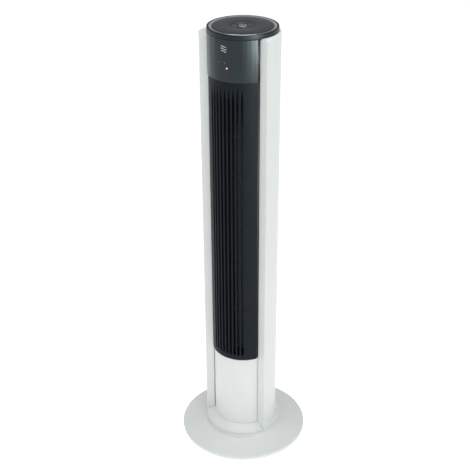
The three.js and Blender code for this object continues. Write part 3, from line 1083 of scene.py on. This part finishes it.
def print_strokes(name, strokes, centre, z, body, slot, material):
    """Flat printed lines on a key: each stroke is (points, width, closed), drawn about centre."""
    points, faces = [], []
    for line, width, closed in strokes:
        base = len(points)
        sides = stroke(line, width, closed)
        points += [(*p, z) for pair in sides for p in pair]
        links = len(sides) if closed else len(sides) - 1
        for i in range(links):
            j = (i + 1) % len(sides)
            faces.append((base + 2 * i, base + 2 * j, base + 2 * j + 1, base + 2 * i + 1))
    piece = ink(new_object(name, points, faces))
    piece.data.transform(shift(*centre, 0))
    return mount(piece, body, slot, material)


def circle(r, start=0, end=360):
    """Plan points on a circle, counted from the front; a full turn leaves out its last point."""
    full = end - start >= 360
    angles = spread(start, end, 40)
    return [polar(r, a) for a in (angles[:-1] if full else angles)]


def key_pictograms():
    """Generic signs: power, air speed, swing, timer and breeze."""
    top = box_mm("power_key")[1].z
    power = [(circle(4.3, 212, 508), 1.1, False), ([(0, 1.2), (0, 5.6)], 1.2, False)]
    print_strokes("power_sign", power, (0, 0), top - INK, "power_button", "gloss_black", TOUCH_BLACK)
    blades = [
        ([polar(1.2, a), polar(2.6, a + 24), polar(3.9, a + 22), polar(4.4, a)], 1.3, False)
        for a in (0, 120, 240)
    ]
    swing = [
        (circle(4.2, -60, 60), 0.7, False),
        ([(-4.6, -3.4), (-3.6, -2.1), (-2.3, -3.2)], 0.7, False),
        ([(4.6, -3.4), (3.6, -2.1), (2.3, -3.2)], 0.7, False),
    ]
    clock = [(circle(4.0), 0.7, True), ([(0, 2.6), (0, 0), (1.9, -0.9)], 0.7, False)]
    waves = [
        ([(x, y + 0.8 * math.sin(x * 1.3)) for x in spread(-3.8, 3.8, 20)], 0.65, False)
        for y in (-2.2, 0, 2.2)
    ]
    signs = {"speed": blades, "swing": swing, "timer": clock, "mode": waves}
    for name, strokes in signs.items():
        centre = polar((KEY_INNER_R + KEY_OUTER_R) / 2, KEY_ANGLES[name])
        print_strokes(f"{name}_sign", strokes, centre, top, f"{name}_button", "silver", PRINT_GREY)


key_pictograms()

# ---------------------------------------------------------------- blower

BLADES = 32
BLADE_ROOT = 10
BLADE_REACH = 9.7
BLADE_SWEEP = 11
BLADE_THICKNESS = 0.9
DISC = 2
DISC_RIM = 11
SHAFT_HOLE_R = 4.3


def blade_drum():
    """The cross-flow wheel: curved blades between thin discs."""
    low, high = box_mm("blower_wheel")
    r, z, top = high.x, low.z, high.z
    parts = []
    for level in spread(z, top - DISC, 6):
        inner = SHAFT_HOLE_R if level in (z, top - DISC) else r - DISC_RIM
        over = level + DISC
        parts.append(lathe("disc", [(inner, level), (r, level), (r, over), (inner, over)], 96))
    for i in range(BLADES):
        turn = 360 * i / BLADES
        line = [
            polar(r - BLADE_ROOT + BLADE_REACH * t, turn + BLADE_SWEEP * t * t)
            for t in spread(0, 1, 6)
        ]
        edges = stroke(line, BLADE_THICKNESS)
        outline = [tuple(a) for a, _ in edges] + [tuple(b) for _, b in reversed(edges)]
        parts.append(prism("blade", outline, z + 0.5, top - 0.5))
    bpy.ops.object.select_all(action="DESELECT")
    for part in parts:
        part.select_set(True)
    bpy.context.view_layer.objects.active = parts[0]
    bpy.ops.object.join()
    parts[0].name = "blade_drum"
    return parts[0]


mount(blade_drum(), "blower", "dark_plastic", WHEEL_GREY, "blower_wheel")

# ---------------------------------------------------------------- floor and light

FLOOR_REACH = 30000
FLOOR_GLOW = 0.6
WORLD_LIGHT = 0.37
LAMP_DISTANCE = 3.0
LAMP_AIM = (0, 0, 0.5)
CARDS = ((80, 84), (66, 56), (52, 22), (38, 6))
CARD_SIZE = (0.75, 2.4)


def make_floor():
    """A wide pale floor that runs into the background."""
    reach = FLOOR_REACH
    corners = [(-reach, -reach, 0), (reach, -reach, 0), (reach, reach, 0), (-reach, reach, 0)]
    floor = new_object("floor", corners, [(0, 1, 2, 3)])
    material, tree, shader = node_material("pale_floor")
    place = tree.nodes.new("ShaderNodeTexCoord").outputs["Object"]
    paper = noise(tree, place, 6, detail=3)
    tone = blended(tree, ranged(tree, paper, 0, 1), (0.93, 0.93, 0.93), (0.95, 0.95, 0.95))
    tree.links.new(tone, shader.inputs["Base Color"])
    tree.links.new(ranged(tree, paper, 0.85, 0.95), shader.inputs["Roughness"])
    shader.inputs["Specular IOR Level"].default_value = 0.0
    shader.inputs["Emission Color"].default_value = (1, 1, 1, 1)
    shader.inputs["Emission Strength"].default_value = FLOOR_GLOW
    floor.data.materials.append(material)


def area_light(name, azimuth, elevation, size, power):
    """A soft lamp that faces the middle of the column, placed by its angles from the front."""
    data = bpy.data.lights.new(name, "AREA")
    data.shape = "RECTANGLE"
    data.size, data.size_y = size
    data.energy = power
    lamp = bpy.data.objects.new(name, data)
    bpy.context.scene.collection.objects.link(lamp)
    a, e = math.radians(azimuth), math.radians(elevation)
    away = Vector((math.sin(a) * math.cos(e), -math.cos(a) * math.cos(e), math.sin(e)))
    lamp.location = Vector(LAMP_AIM) + away * LAMP_DISTANCE
    lamp.rotation_mode = "QUATERNION"
    lamp.rotation_quaternion = (-away).to_track_quat("-Z", "Y")
    return lamp


def make_light():
    """A pale room, three soft lamps, and cards that show only as reflections in the glossy pieces."""
    world = bpy.data.worlds.new("studio")
    world.use_nodes = True
    background = world.node_tree.nodes["Background"]
    background.inputs["Color"].default_value = (0.97, 0.985, 1.0, 1)
    background.inputs["Strength"].default_value = WORLD_LIGHT
    bpy.context.scene.world = world
    area_light("key", 52, 28, (1.6, 2.0), 12)
    area_light("top", 20, 82, (2.4, 2.4), 60)
    area_light("left", -75, 10, (0.6, 2.4), 2)
    for number, (azimuth, power) in enumerate(CARDS):
        card = area_light(f"card_{number}", azimuth, 2, CARD_SIZE, power)
        card.visible_diffuse = False


make_floor()
make_light()
bpy.context.scene.view_settings.view_transform = "Standard"
